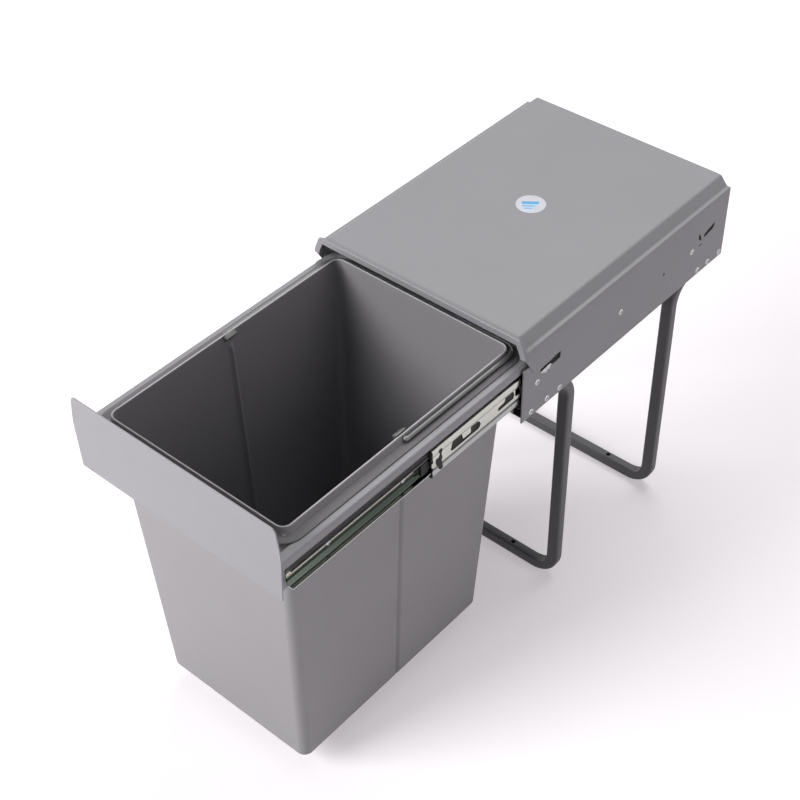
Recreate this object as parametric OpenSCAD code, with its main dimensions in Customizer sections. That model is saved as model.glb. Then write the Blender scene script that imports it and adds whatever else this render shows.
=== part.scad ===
// Pull-out trash cabinet: a lidded housing on two tube leg frames, with ball
// slides that carry a plated carrier and a loose bucket with a bail handle.
// The drawer is drawn open. The origin lies on the floor, in the middle of the
// four floor screw holes; X points right, Y back and Z up.

/* [Housing] */
// Width of the gap between the two side panels
inside_w = 280.6; // [240:0.1:420]
// Thickness of the side panels' sheet
panel_t = 1.5; // [1:0.1:3]
// Depth of the side panels, front to back
panel_d = 378; // [300:1:500]
// Height of the side panels' lower edge above the floor
panel_low = 316; // [250:1:400]
// Height of the lid's top above the floor
lid_top = 420; // [350:1:560]
// Thickness of the lid's sheet
lid_t = 1; // [0.8:0.1:2]
// Height of the lid's side ledges above the floor
ledge_z = 409; // [340:1:550]
// Width of the lid's side ledges, next to its skirts
ledge_in = 4.8; // [2:0.1:15]
// Width of the lid's sloped sides
slope_w = 9.5; // [4:0.5:30]
// Height of the lid skirts' lower edge above the floor
skirt_low = 375.4; // [320:0.1:500]
// Depth of the lid, front to back
lid_d = 376; // [300:1:500]
// How far the lid's front rim stands above its top
rim_rise = 2; // [1:0.1:5]
// Height of the lid's front rim band
rim_band = 7; // [4:0.5:15]
// Diameter of the round sticker
sticker_dia = 33.5; // [20:0.5:60]
// Thickness of the sticker
sticker_t = 0.25; // [0.1:0.05:1]
// Distance of the sticker's middle behind the lid's front edge
sticker_back = 195; // [60:1:300]

/* [Leg frames] */
// Width of the leg tube, across the frame
tube_w = 15; // [10:0.5:30]
// Depth of the leg tube, front to back
tube_d = 12; // [8:0.5:30]
// Wall of the leg tube
tube_wall = 1.2; // [1:0.1:3]
// Corner radius of the leg tube
tube_corner = 2.5; // [1.5:0.1:5]
// Distance of the front frame's middle behind the housing's front edge
front_frame = 92; // [60:1:150]
// Distance of the rear frame's middle behind the housing's front edge
rear_frame = 289; // [200:1:450]
// Radius of the tube's lower bends, at its middle
floor_bend = 28; // [20:0.5:60]
// Radius of the tube's upper bends, at its middle
top_bend = 20; // [15:0.5:40]
// Distance of the front frame's tube ends behind the housing's front edge
front_end = 6; // [2:0.5:40]
// Distance of the rear frame's tube ends behind the housing's front edge
rear_end = 376; // [300:0.5:500]
// Distance of the floor screw holes from the middle plane
hole_x = 73; // [40:0.5:120]
// Diameter of the floor screw holes
hole_dia = 5.5; // [4:0.1:8]

/* [Slides] */
// Height of the slides' middle above the floor
slide_z = 357; // [300:0.5:500]
// Length of the outer and inner slide members
slide_len = 350; // [250:1:550]
// Length of the middle slide member
middle_len = 310; // [200:1:500]
// Height of the outer slide member
outer_h = 43; // [35:0.5:60]
// Height of the middle slide member
middle_h = 34; // [28:0.5:50]
// Height of the inner slide member
inner_h = 24.8; // [20:0.2:40]
// Thickness of the slide's sheet
slide_t = 1.2; // [0.8:0.1:2]
// Whole thickness of the slide
slide_w = 12.7; // [10:0.1:20]
// Distance of the outer member's front end behind the housing's front edge
outer_in = 3; // [0:0.5:20]
// How far the middle member stands out in front of the housing
middle_out = 137; // [80:0.5:200]
// How far the inner member stands out in front of the housing
inner_out = 339; // [250:0.5:500]
// Radius of the balls between the outer and the middle member
outer_ball = 2; // [1:0.05:3]
// Radius of the balls between the middle and the inner member
inner_ball = 1.75; // [1:0.05:3]

/* [Carrier] */
// Thickness of the carrier's sheet
rail_t = 1.5; // [1:0.1:3]
// Height of the rails' top flange above the floor
rail_top = 390.5; // [330:0.5:530]
// How far the rails' flanges reach out from their webs
rail_flange = 10.4; // [6:0.1:25]
// Height of the rails' turned-down lips
lip_h = 10; // [5:0.5:20]
// Height of the rails' lower edge above the floor
rail_low = 341; // [280:1:480]
// How far the rails reach behind the housing's front edge
rail_back = 24; // [10:0.5:60]
// How far the plate's front face stands out in front of the housing
plate_out = 343.3; // [250:0.1:500]
// Height of the plate's top edge above the floor
plate_top = 434; // [360:1:580]
// Height of the plate's lower edge above the floor
plate_low = 340; // [280:1:480]
// How far the plate stands out past the rails' lips
plate_past = 2; // [0:0.5:15]
// Width of the plate's slanted ends
plate_slant = 14; // [5:0.5:40]
// Height where the plate's slanted ends begin
plate_knee = 396; // [330:1:540]

/* [Bucket] */
// Height of the bucket's rim above the floor
rim_z = 400; // [340:1:560]
// Gap between the bucket's inner rim and the rails' webs
mouth_gap = 10.1; // [6:0.1:30]
// How far the rim's inner edge stands out in front of the housing
mouth_out = 319; // [220:0.5:480]
// How far the rim's inner edge reaches behind the housing's front edge
mouth_back = 7.5; // [0:0.5:20]
// Wall of the bucket
bucket_wall = 2; // [1.2:0.1:4]
// Height of the bucket's underside above the floor
bucket_low = 25; // [18:0.5:80]
// How much narrower each side of the bucket is at its foot
side_draft = 16; // [8:0.5:30]
// How much the bucket's front wall leans in toward its foot
front_draft = 18; // [8:0.5:30]
// How much the bucket's rear wall leans in toward its foot
rear_draft = 24.5; // [8:0.5:40]
// Corner radius of the bucket, outside
bucket_corner = 18; // [10:0.5:40]
// Width of the ledge around the bucket's rim
ledge_w = 12.5; // [8:0.5:20]
// Width of the upright groove in the bucket's long walls
groove_w = 10; // [5:0.5:20]
// Depth of the upright groove in the bucket's long walls
groove_d = 3; // [1:0.1:6]
// Diameter of the bail's wire
bail_dia = 5; // [3:0.1:8]

/* [Hidden] */
over = 0.5; // cuts run this far past the faces they open
fit = 0.1; // radial clearance of a running pin
snug = 0.05; // radial clearance of a fixed shank

// Distances behind the housing's front edge become Y values
mid_d = (front_frame + rear_frame) / 2;
function back(d) = d - mid_d;

// Housing
in_x = inside_w / 2; // inner face of a side panel
out_x = in_x + panel_t; // outer face of a side panel
skirt_x = out_x + lid_t; // outer face of a lid skirt
slope_x = skirt_x - ledge_in; // foot of a sloped side
shoulder_x = slope_x - slope_w; // edge of the lid's flat top
bend_r = 1.5; // outside radius of a sharp sheet bend
panel_top = ledge_z - bend_r; // the side panels end below the lid's bends
shoulder_r = 5;
foot_r = 3;
skirt_cut_top = 400; // where the skirt's slanted front edge starts
skirt_cut_in = 16; // how far that edge runs back
rim_flare = 8; // how far behind the front the raised rim fades out
rim_grow = 6.9; // how much wider the rim's flat top is than the lid's
rim_side = 1.5; // how far the rim stands out at the foot of the slopes
rim_t = 1.2;

// Rivets as [distance behind the front edge, height]
rivet_r = 2;
head_r = 3.8;
head_h = 1.2;
frame_rivet_z = 322;
frame_rivet_at = [15.5, 42.2, 64.5, 326.2, 347.2, 371];
rivet_in = 20.7; // slide rivets, from the outer member's two ends
rivet_end = 44.1;
slide_rivet_at = [outer_in + rivet_in, outer_in + 0.48 * slide_len, outer_in + slide_len - rivet_end];
tail_r = 3;
tail_h = 1;
small_hole = [252.8, 359];
small_hole_r = 1.8;
slit_at = [325.9, 357.4];
slit_l = 6;
slit_h = 1.6;
// Middle lines of the hook slots
hook_paths = [
    [[29.5, 369.8], [40, 367.6], [50, 370.6], [59, 370.2]],
    [[321, 372.3], [326, 366.4]],
    [[332.5, 366.6], [341, 369.4], [353.5, 371.8]]];
hook_w = 3.6;

// Leg frames
leg_x = in_x - tube_w / 2;
bar_z = tube_w / 2;

// Slides: depth is measured inward from the side panel
outer_flange = 9;
middle_face = 1.6; // depth of the middle member's web
middle_flange = 9.5;
inner_edge = 3.6; // depth of the inner member's open edges
inner_bend = 9.5; // depth where the inner member's flanges turn in
inner_half_web = 7.5; // half the height of the inner member's web
ball_depth = 6.5;
outer_ball_v = 18.7; // height of the outer balls' middle over the slide's
inner_ball_v = 14.2; // height of the inner balls' middle over the slide's
ball_gap = 0.15;
cage_t = 1;
cage_from = 3.9;
cage_to = 8.7;
outer_cage_len = 120;
inner_cage_len = 110;
outer_cage_front = 28;
inner_cage_out = 118;
ball_step = 21;
web_line = 0.5; // depth of the shallow lines along the middle member's web
web_line_in = 5.5;
web_line_out = 7.5;
clip_front = 133; // the clip's window, in front of the housing
clip_rear = 123;
clip_high = 13;
clip_deep = 15;
clip_lap = 1.5;
clip_t = 0.5;
clip_gap = 0.2;
tongue_l = 2;
tongue_h = 6;
// Slots in the middle member's web: distance behind the housing's front, height over the middle
web_slots = [
    [[-110.6, 2.3], [-108.8, 6.5], [-106.4, 9.5], [-92.6, 9.7], [-91.7, 2.4], [-79.6, 2.6], [-79.2, 8.7],
        [-68.5, 8.7], [-65.2, 6.5], [-64.2, 3.2], [-65.4, 0.2], [-68.5, -1.2], [-106.5, -1.2], [-109.4, -0.6]],
    [[-36.9, 2.2], [-36.2, 4.4], [-26.8, 5.2], [-25.1, 6.7], [-24.6, 9], [-11.2, 9], [-10.2, 4.5],
        [-11.5, 0], [-34.3, -0.4], [-36.4, 0.6]],
    [[-9, 4.5], [-8.2, 9], [2, 9], [6, 4.5], [2, 0], [-8.2, 0]]];

// Carrier
rail_x = in_x - slide_w; // outer face of a rail's web
web_in = rail_x - rail_t;
rail_half = rail_x + rail_flange;
plate_half = rail_half + plate_past;
plate_top_half = plate_half - plate_slant;
plate_y = back(-plate_out);
screw_in = 63.4; // rail screws, from the inner member's two ends
screw_step = 105;
screw_end = 31;
screw_at = [screw_in - inner_out, screw_in + screw_step - inner_out, slide_len - screw_end - inner_out];
screw_r = 2;
screw_head_r = 3.3;
screw_head_h = 2;
screw_past = 2.5;
rail_bend = 2.3;
cross_y = 14.5;
cross_low = 345;
lever_at = -128;
lever_face = 5;
lever_t = 3.5;
lever_pin_r = 2;
lever_seat_r = 3.2;
lever_head = 0.5;
lever_tip = 151;
lever_tail = 108;
lever_half = 4.5;
lever_flag = 7.5;
lever_flag_l = 10;
plate_round = 7;

// Bucket
mouth_half = web_in - mouth_gap; // inner face of the rim's wall
ledge_t = 2;
ledge_bead = 0.5;
bead_in = 7; // where the ledge's crest lies outside the rim's wall
wall_flare = 1.4;
foot_round = 3;
groove_top = 380;
groove_fade = 388;
bail_lift = 0.3;
bail_z = rail_top + ledge_t + bail_dia / 2 + bail_lift;
bail_y = back((mouth_back - mouth_out) / 2);
bail_off = 3.5; // wire's middle outside the rim wall's outer face
tab_l = 18;
tab_h = 10;
tab_t = 2.4;
tab_gap = 0.4;

// Extrudes an outline of X and Z values back from y
module along_y(y, l) translate([0, y + l, 0]) rotate([90, 0, 0]) linear_extrude(l) children();
// Extrudes an outline of Y and Z values to the right from x
module along_x(x, l) translate([x, 0, 0]) rotate([90, 0, 90]) linear_extrude(l) children();
// A cylinder along X whose outer end is at x and which runs inward
module pin_x(x, l, r, y, z) translate([x - l, y, z]) rotate([0, 90, 0]) cylinder(h = l, r = r, $fn = 48);
module side(s) if (s > 0) children(); else mirror([1, 0, 0]) children();

function unit(v) = v / norm(v);
function arc(a, b, c, r, n) = let (u = unit(a - b), w = unit(c - b), h = acos(u * w) / 2,
    m = b + unit(u + w) * r / sin(h), p = b + u * r / tan(h) - m, q = b + w * r / tan(h) - m,
    from = atan2(p[1], p[0]), turn = (atan2(q[1], q[0]) - from + 540) % 360 - 180)
    [for (i = [0:n]) m + r * [cos(from + turn * i / n), sin(from + turn * i / n)]];
function rounded(p, r, n) = [for (i = [0:len(p) - 1])
    each i == 0 || i == len(p) - 1 || r[i] == 0 ? [p[i]] : arc(p[i - 1], p[i], p[i + 1], r[i], n)];
function right_of(a, b) = let (d = unit(b - a)) [d[1], -d[0]];
function shifted(p, t) = [for (i = [0:len(p) - 1]) let (
    m = right_of(p[max(i - 1, 0)], p[max(i, 1)]),
    n = right_of(p[min(i, len(p) - 2)], p[min(i + 1, len(p) - 1)])) p[i] + (m + n) * t / (1 + m * n)];
// Outline of a slot of width w with round ends, along path p
function cap(c, from, w) = [for (i = [0:8]) c + w / 2 * [cos(from - 22.5 * i), sin(from - 22.5 * i)]];
function heading(a, b) = atan2(b[1] - a[1], b[0] - a[0]);
function slot_around(p, w) = let (n = len(p) - 1, l = shifted(p, -w / 2), r = shifted(p, w / 2)) concat(
    cap(p[0], heading(p[0], p[1]) - 90, w), [for (i = [1:1:n - 1]) l[i]],
    cap(p[n], heading(p[n - 1], p[n]) + 90, w), [for (i = [n - 1:-1:1]) r[i]]);
function backwards(p) = [for (i = [len(p) - 1:-1:0]) p[i]];
// Outline of a bent sheet of thickness t that lies to the right of path p
function sheet(p, r, s, t) = concat(rounded(p, r, 5), backwards(rounded(shifted(p, t), s, 5)));

lid_path = [[-skirt_x, skirt_low], [-skirt_x, ledge_z], [-slope_x, ledge_z], [-shoulder_x, lid_top],
    [shoulder_x, lid_top], [slope_x, ledge_z], [skirt_x, ledge_z], [skirt_x, skirt_low]];
rim_path = [[-slope_x - rim_side, ledge_z - lid_t], [-slope_x - rim_side, ledge_z],
    [-shoulder_x - rim_grow, lid_top + rim_rise], [shoulder_x + rim_grow, lid_top + rim_rise],
    [slope_x + rim_side, ledge_z], [slope_x + rim_side, ledge_z - lid_t]];

module lid() color([0.62, 0.61, 0.63]) {
    difference() {
        along_y(back(0), lid_d)
            polygon(sheet(lid_path, [0, bend_r, foot_r, shoulder_r, shoulder_r, foot_r, bend_r, 0],
                [0, bend_r - lid_t, foot_r + lid_t, shoulder_r - lid_t, shoulder_r - lid_t,
                    foot_r + lid_t, bend_r - lid_t, 0], lid_t));
        along_x(-skirt_x - over, 2 * (skirt_x + over))
            polygon([[back(-over), skirt_cut_top], [back(lid_t), skirt_cut_top],
                [back(skirt_cut_in), skirt_low], [back(skirt_cut_in), skirt_low - over],
                [back(-over), skirt_low - over]]);
    }
    along_y(back(0), rim_t)
        polygon(sheet(rim_path, [0, foot_r, shoulder_r, shoulder_r, foot_r, 0],
            [0, 0, 0, 0, 0, 0], rim_band));
    along_x(-shoulder_x, 2 * shoulder_x)
        polygon([[back(rim_t), lid_top + rim_rise], [back(rim_flare), lid_top],
            [back(rim_flare), lid_top - lid_t], [back(rim_t), lid_top - lid_t]]);
}

module lid_sticker() color([0.9, 0.93, 0.96])
    translate([0, back(sticker_back), lid_top]) cylinder(h = sticker_t, d = sticker_dia, $fn = 96);

module side_panel(s) color([0.5, 0.49, 0.51]) side(s)
    difference() {
        along_x(in_x, panel_t)
            translate([back(0), panel_low]) square([panel_d, panel_top - panel_low]);
        for (d = frame_rivet_at) pin_x(out_x + over, panel_t + 2 * over, rivet_r, back(d), frame_rivet_z);
        for (d = slide_rivet_at) pin_x(out_x + over, panel_t + 2 * over, rivet_r, back(d), slide_z);
        pin_x(out_x + over, panel_t + 2 * over, small_hole_r, back(small_hole[0]), small_hole[1]);
        along_x(in_x - over, panel_t + 2 * over)
            translate([back(slit_at[0]) - slit_l / 2, slit_at[1] - slit_h / 2]) square([slit_l, slit_h]);
        along_x(in_x - over, panel_t + 2 * over)
            for (h = hook_paths) polygon(slot_around([for (p = h) [back(p[0]), p[1]]], hook_w));
    }

module tube_2d(a, b, g) {
    r = tube_corner + g;
    square([a + 2 * g, b + 2 * g - 2 * r], center = true);
    square([a + 2 * g - 2 * r, b + 2 * g], center = true);
    for (x = [-1, 1], y = [-1, 1])
        translate([x * (a / 2 + g - r), y * (b / 2 + g - r)]) circle(r = r, $fn = 32);
}

// The run of a leg frame's tube, grown by g; dir is the way its upper ends bend
module leg_run(y, dir, end_y, g, past) {
    along_x(floor_bend - leg_x, 2 * (leg_x - floor_bend)) translate([y, bar_z]) tube_2d(tube_d, tube_w, g);
    for (s = [-1, 1]) side(s) {
        translate([leg_x - floor_bend, y, bar_z + floor_bend]) rotate([90, 0, 0]) rotate([0, 0, -90])
            rotate_extrude(angle = 90, $fn = 96) translate([floor_bend, 0]) tube_2d(tube_w, tube_d, g);
        translate([leg_x, y, bar_z + floor_bend])
            linear_extrude(frame_rivet_z - top_bend - bar_z - floor_bend) tube_2d(tube_w, tube_d, g);
        translate([leg_x, y + dir * top_bend, frame_rivet_z - top_bend]) rotate([90, 0, 90])
            rotate([0, 0, dir > 0 ? 90 : 0])
            rotate_extrude(angle = 90, $fn = 96) translate([top_bend, 0]) tube_2d(tube_d, tube_w, g);
        along_y(dir > 0 ? y + top_bend : end_y - past, abs(end_y - y) - top_bend + past)
            translate([leg_x, frame_rivet_z]) tube_2d(tube_w, tube_d, g);
    }
}

module leg_frame(y, dir, end_y, rivets) color([0.3, 0.3, 0.31])
    difference() {
        leg_run(y, dir, end_y, 0, 0);
        leg_run(y, dir, end_y, -tube_wall, over);
        for (s = [-1, 1]) translate([s * hole_x, y, -over])
            cylinder(h = tube_w + 2 * over, d = hole_dia, $fn = 48);
        for (s = [-1, 1], d = rivets) side(s)
            pin_x(in_x + over, tube_wall + 2 * over, rivet_r, back(d), frame_rivet_z);
    }

module rivet_head(y, z) translate([out_x, y, z]) rotate([0, 90, 0])
    cylinder(h = head_h, r1 = head_r, r2 = head_r - head_h, $fn = 48);

module frame_rivets() color([0.7, 0.7, 0.72])
    for (s = [-1, 1], d = frame_rivet_at) side(s) {
        rivet_head(back(d), frame_rivet_z);
        pin_x(out_x, panel_t + tube_wall + tail_h, rivet_r - snug, back(d), frame_rivet_z);
        pin_x(in_x - tube_wall, tail_h, tail_r, back(d), frame_rivet_z);
    }

module slide_rivets() color([0.7, 0.7, 0.72])
    for (s = [-1, 1], d = slide_rivet_at) side(s) {
        rivet_head(back(d), slide_z);
        pin_x(out_x, panel_t + slide_t, rivet_r - snug, back(d), slide_z);
    }

// Slide sections, drawn with depth inward from the side panel and height from the slide's middle
module slide_part(y, l) along_y(y, l) translate([in_x, slide_z]) mirror([1, 0]) children();
module both(v) for (k = [-1, 1]) translate([ball_depth, k * v]) circle(r = $r, $fn = 32);

module outer_member(s) color([0.74, 0.75, 0.73]) side(s)
    difference() {
        slide_part(back(outer_in), slide_len) difference() {
            translate([0, -outer_h / 2]) square([outer_flange, outer_h]);
            translate([slide_t, slide_t - outer_h / 2]) square([outer_flange, outer_h - 2 * slide_t]);
            both(outer_ball_v, $r = outer_ball + ball_gap);
        }
        for (d = slide_rivet_at) pin_x(in_x + over, slide_t + 2 * over, rivet_r, back(d), slide_z);
    }

module middle_member(s) color([0.76, 0.77, 0.75]) side(s) {
    difference() {
        slide_part(back(-middle_out), middle_len) difference() {
            translate([middle_face, -middle_h / 2]) square([middle_flange - middle_face, middle_h]);
            translate([middle_face + slide_t, slide_t - middle_h / 2])
                square([middle_flange, middle_h - 2 * slide_t]);
            both(outer_ball_v, $r = outer_ball + ball_gap);
            both(inner_ball_v, $r = inner_ball + ball_gap);
            for (k = [-1, 1]) translate([middle_face - over, k * (web_line_in + web_line_out) / 2
                - (web_line_out - web_line_in) / 2]) square([over + web_line, web_line_out - web_line_in]);
        }
        along_x(in_x - middle_face - slide_t - over, slide_t + 2 * over) {
            translate([back(-clip_front), slide_z - clip_deep])
                square([clip_front - clip_rear, clip_high + clip_deep]);
            for (w = web_slots) polygon([for (q = w) [back(q[0]), slide_z + q[1]]]);
        }
    }
    translate([in_x - middle_face - slide_t, back(-middle_out - tongue_l), slide_z])
        cube([slide_t, tongue_l, tongue_h]);
}

module middle_clip(s) color([0.1, 0.1, 0.1]) side(s) {
    translate([in_x - middle_face - slide_t, back(-clip_front) + clip_gap, slide_z - clip_deep + clip_gap])
        cube([slide_t, clip_front - clip_rear - 2 * clip_gap, clip_high + clip_deep - 2 * clip_gap]);
    translate([in_x - middle_face - slide_t - clip_t, back(-clip_front - clip_lap), slide_z - clip_deep])
        cube([clip_t, clip_front - clip_rear + 2 * clip_lap, 2 * clip_deep]);
}

// Balls and the holes that hold them, along a row that starts at y
module ball_row(y, l, v, r, tall) for (k = [-1, 1], i = [0:floor((l - ball_step / 2) / ball_step)])
    translate([in_x - ball_depth, y + ball_step / 2 + i * ball_step, slide_z + k * v])
        if (tall) cylinder(h = 2 * r, r = r, center = true, $fn = 24); else sphere(r = r, $fn = 24);

module outer_cage(s) color([0.72, 0.66, 0.5]) side(s) {
    difference() {
        slide_part(back(outer_cage_front), outer_cage_len)
            for (k = [-1, 1]) translate([cage_from, k * outer_ball_v - cage_t / 2])
                square([cage_to - cage_from, cage_t]);
        ball_row(back(outer_cage_front), outer_cage_len, outer_ball_v, outer_ball + fit, true);
    }
    ball_row(back(outer_cage_front), outer_cage_len, outer_ball_v, outer_ball, false);
}

module inner_cage(s) color([0.72, 0.66, 0.5]) side(s) {
    difference() {
        slide_part(back(-inner_cage_out), inner_cage_len) {
            for (k = [-1, 1]) translate([middle_face + slide_t + clip_gap, k * inner_ball_v - cage_t / 2])
                square([cage_to - middle_face - slide_t - clip_gap, cage_t]);
            translate([middle_face + slide_t + clip_gap, -inner_ball_v])
                square([clip_gap + clip_gap, 2 * inner_ball_v]);
        }
        ball_row(back(-inner_cage_out), inner_cage_len, inner_ball_v, inner_ball + fit, true);
    }
    ball_row(back(-inner_cage_out), inner_cage_len, inner_ball_v, inner_ball, false);
}

inner_path = [[inner_edge, inner_h / 2], [inner_bend, inner_h / 2], [slide_w, inner_half_web],
    [slide_w, -inner_half_web], [inner_bend, -inner_h / 2], [inner_edge, -inner_h / 2]];

module inner_member(s) color([0.7, 0.71, 0.69]) side(s) {
    difference() {
        slide_part(back(-inner_out), slide_len) polygon(sheet(inner_path, [0, 0, 0, 0, 0, 0],
            [0, 0, 0, 0, 0, 0], slide_t));
        for (d = screw_at) pin_x(rail_x + slide_t + over, slide_t + 2 * over, screw_r, back(d), slide_z);
    }
    // stud that the disconnect lever turns on
    pin_x(rail_x + slide_w - lever_face + lever_head, slide_w - lever_face - slide_t + lever_head + over,
        lever_pin_r, back(lever_at), slide_z);
    pin_x(in_x - lever_face - lever_t - fit, slide_w - lever_face - lever_t - slide_t - fit + over,
        lever_seat_r, back(lever_at), slide_z);
    pin_x(in_x - lever_face + fit + lever_head, lever_head, lever_seat_r, back(lever_at), slide_z);
}

module rail_screws() color([0.78, 0.78, 0.79])
    for (s = [-1, 1], d = screw_at) side(s) {
        pin_x(rail_x + slide_t, slide_t + rail_t + screw_past, screw_r - snug, back(d), slide_z);
        pin_x(rail_x + slide_t + screw_head_h, screw_head_h, screw_head_r, back(d), slide_z);
    }

module lever(s) color([0.1, 0.1, 0.1]) side(s)
    difference() {
        translate([in_x - lever_face - lever_t, 0, slide_z]) {
            translate([0, back(-lever_tip), -lever_half])
                cube([lever_t, lever_tip - lever_tail, 2 * lever_half]);
            translate([0, back(-lever_tip), -lever_flag]) cube([lever_t, lever_flag_l, 2 * lever_flag]);
        }
        pin_x(in_x - lever_face + over, lever_t + 2 * over, lever_pin_r + fit, back(lever_at), slide_z);
    }

rail_path = [[web_in, rail_low], [web_in, rail_top], [rail_half, rail_top], [rail_half, rail_top - lip_h]];

module rail(s) color([0.62, 0.61, 0.64]) side(s)
    difference() {
        along_y(plate_y + rail_t, plate_out - rail_t + rail_back)
            polygon(sheet(rail_path, [0, rail_bend, rail_bend, 0],
                [0, rail_bend - rail_t, rail_bend - rail_t, 0], rail_t));
        for (d = screw_at) pin_x(rail_x + over, rail_t + 2 * over, screw_r, back(d), slide_z);
    }

module rear_cross_rail() color([0.62, 0.61, 0.64])
    along_x(-web_in, 2 * web_in)
        polygon(sheet([[back(cross_y), cross_low], [back(cross_y), rail_top], [back(rail_back), rail_top]],
            [0, rail_bend, 0], [0, rail_bend - rail_t, 0], rail_t));

module front_plate() color([0.72, 0.71, 0.74])
    along_y(plate_y, rail_t)
        polygon(rounded([[0, plate_low], [-plate_half, plate_low], [-plate_half, plate_knee],
            [-plate_top_half, plate_top], [plate_top_half, plate_top], [plate_half, plate_knee],
            [plate_half, plate_low], [0, plate_low]], [0, 0, 0, plate_round, plate_round, 0, 0, 0], 6));

// One level of the bucket: half width, front, rear, corner radius, height and groove depth
corner_steps = 6;
function corner_at(x, y, r, z, from) = [for (i = [0:corner_steps])
    [x + r * cos(from + 90 * i / corner_steps), y + r * sin(from + 90 * i / corner_steps), z]];
function groove_at(x, g, z, k) = [for (p = [[0, -1], [1, -0.65], [1, 0.65], [0, 1]])
    [k * (x - p[0] * g), bail_y + k * p[1] * groove_w / 2, z]];
function level(x, y0, y1, r, z, g) = concat(
    corner_at(x - r, y1 - r, r, z, 0), corner_at(r - x, y1 - r, r, z, 90),
    groove_at(x, g, z, -1), corner_at(r - x, y0 + r, r, z, 180), corner_at(x - r, y0 + r, r, z, 270),
    groove_at(x, g, z, 1));
// A level of the drafted wall, moved in by w
function wall_level(w, z, g) = let (t = (rim_z - z) / (rim_z - bucket_low), o = bucket_wall - w)
    level(mouth_half + o - side_draft * t, back(-mouth_out - o + front_draft * t),
        back(mouth_back + o - rear_draft * t), bucket_corner - w, z, g);
// A level of the rim, out from the wall's outer face by o
function rim_level(o, z) = level(mouth_half + bucket_wall + o, back(-mouth_out - bucket_wall - o),
    back(mouth_back + bucket_wall + o), bucket_corner + o, z, 0);
bucket_levels = [wall_level(foot_round, bucket_low, 0), wall_level(0, bucket_low + foot_round, groove_d),
    wall_level(0, groove_top, groove_d), wall_level(0, groove_fade, 0), wall_level(0, rail_top, 0),
    rim_level(ledge_w, rail_top), rim_level(ledge_w, rail_top + ledge_t / 2),
    rim_level(bead_in, rail_top + ledge_t), rim_level(wall_flare, rail_top + ledge_t),
    rim_level(0, rim_z), wall_level(bucket_wall, rim_z, 0), wall_level(bucket_wall, groove_fade, 0),
    wall_level(bucket_wall, groove_top, groove_d),
    wall_level(bucket_wall, bucket_low + foot_round + bucket_wall, groove_d),
    wall_level(bucket_wall + foot_round, bucket_low + bucket_wall, 0)];
level_n = len(bucket_levels[0]);
bucket_points = [for (l = bucket_levels) each l];
// The end faces start inside a corner, off the lines of the straight walls
cap_from = corner_steps / 2;
bucket_faces = concat([[for (i = [0:level_n - 1]) (i + cap_from) % level_n]],
    [for (k = [0:len(bucket_levels) - 2], i = [0:level_n - 1]) let (j = (i + 1) % level_n, a = k * level_n,
        b = a + level_n) each [[a + i, b + i, b + j], [a + i, b + j, a + j]]],
    [[for (i = [level_n - 1:-1:0]) (len(bucket_levels) - 1) * level_n + (i + cap_from) % level_n]]);

module bucket() color([0.5, 0.49, 0.51])
    difference() {
        polyhedron(bucket_points, bucket_faces);
        for (s = [-1, 1]) side(s)
            pin_x(mouth_half + bucket_wall + wall_flare + over, 2 * bucket_wall + wall_flare + 2 * over,
                bail_dia / 2 + fit, bail_y, bail_z);
    }

bail_x = mouth_half + bucket_wall + bail_off;
bail_bow = back(mouth_back + bucket_wall + bail_off);
bail_corner = bucket_corner + bail_off;
module wire(l) cylinder(h = l, d = bail_dia, $fn = 32);

module bail_handle() color([0.45, 0.46, 0.45]) {
    for (s = [-1, 1]) side(s) {
        translate([bail_x, bail_y, bail_z]) rotate([-90, 0, 0]) wire(bail_bow - bail_corner - bail_y);
        translate([bail_x, bail_y, bail_z]) sphere(d = bail_dia, $fn = 32);
        translate([bail_x - bail_corner, bail_bow - bail_corner, bail_z])
            rotate_extrude(angle = 90, $fn = 96) translate([bail_corner, 0]) circle(d = bail_dia, $fn = 32);
        pin_x(bail_x, bail_x - mouth_half + tab_gap + tab_t / 2, bail_dia / 2, bail_y, bail_z);
        translate([mouth_half - tab_gap - tab_t, bail_y - tab_l / 2, bail_z - tab_h / 3])
            cube([tab_t, tab_l, tab_h]);
    }
    translate([bail_corner - bail_x, bail_bow, bail_z]) rotate([0, 90, 0]) wire(2 * (bail_x - bail_corner));
}

lid();
lid_sticker();
side_panel(-1);  // side_panel_left
side_panel(1);  // side_panel_right
leg_frame(back(front_frame), -1, back(front_end), [for (i = [0:2]) frame_rivet_at[i]]);  // leg_frame_front
leg_frame(back(rear_frame), 1, back(rear_end), [for (i = [3:5]) frame_rivet_at[i]]);  // leg_frame_rear
frame_rivets();
slide_rivets();
outer_member(-1);  // outer_member_left
outer_member(1);  // outer_member_right
outer_cage(-1);  // outer_cage_left
outer_cage(1);  // outer_cage_right
middle_member(-1);  // middle_member_left
middle_member(1);  // middle_member_right
middle_clip(-1);  // middle_clip_left
middle_clip(1);  // middle_clip_right
inner_cage(-1);  // inner_cage_left
inner_cage(1);  // inner_cage_right
inner_member(-1);  // inner_member_left
inner_member(1);  // inner_member_right
rail_screws();
lever(-1);  // lever_left
lever(1);  // lever_right
rail(-1);  // rail_left
rail(1);  // rail_right
rear_cross_rail();
front_plate();
bucket();
bail_handle();
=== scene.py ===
import math

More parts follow.
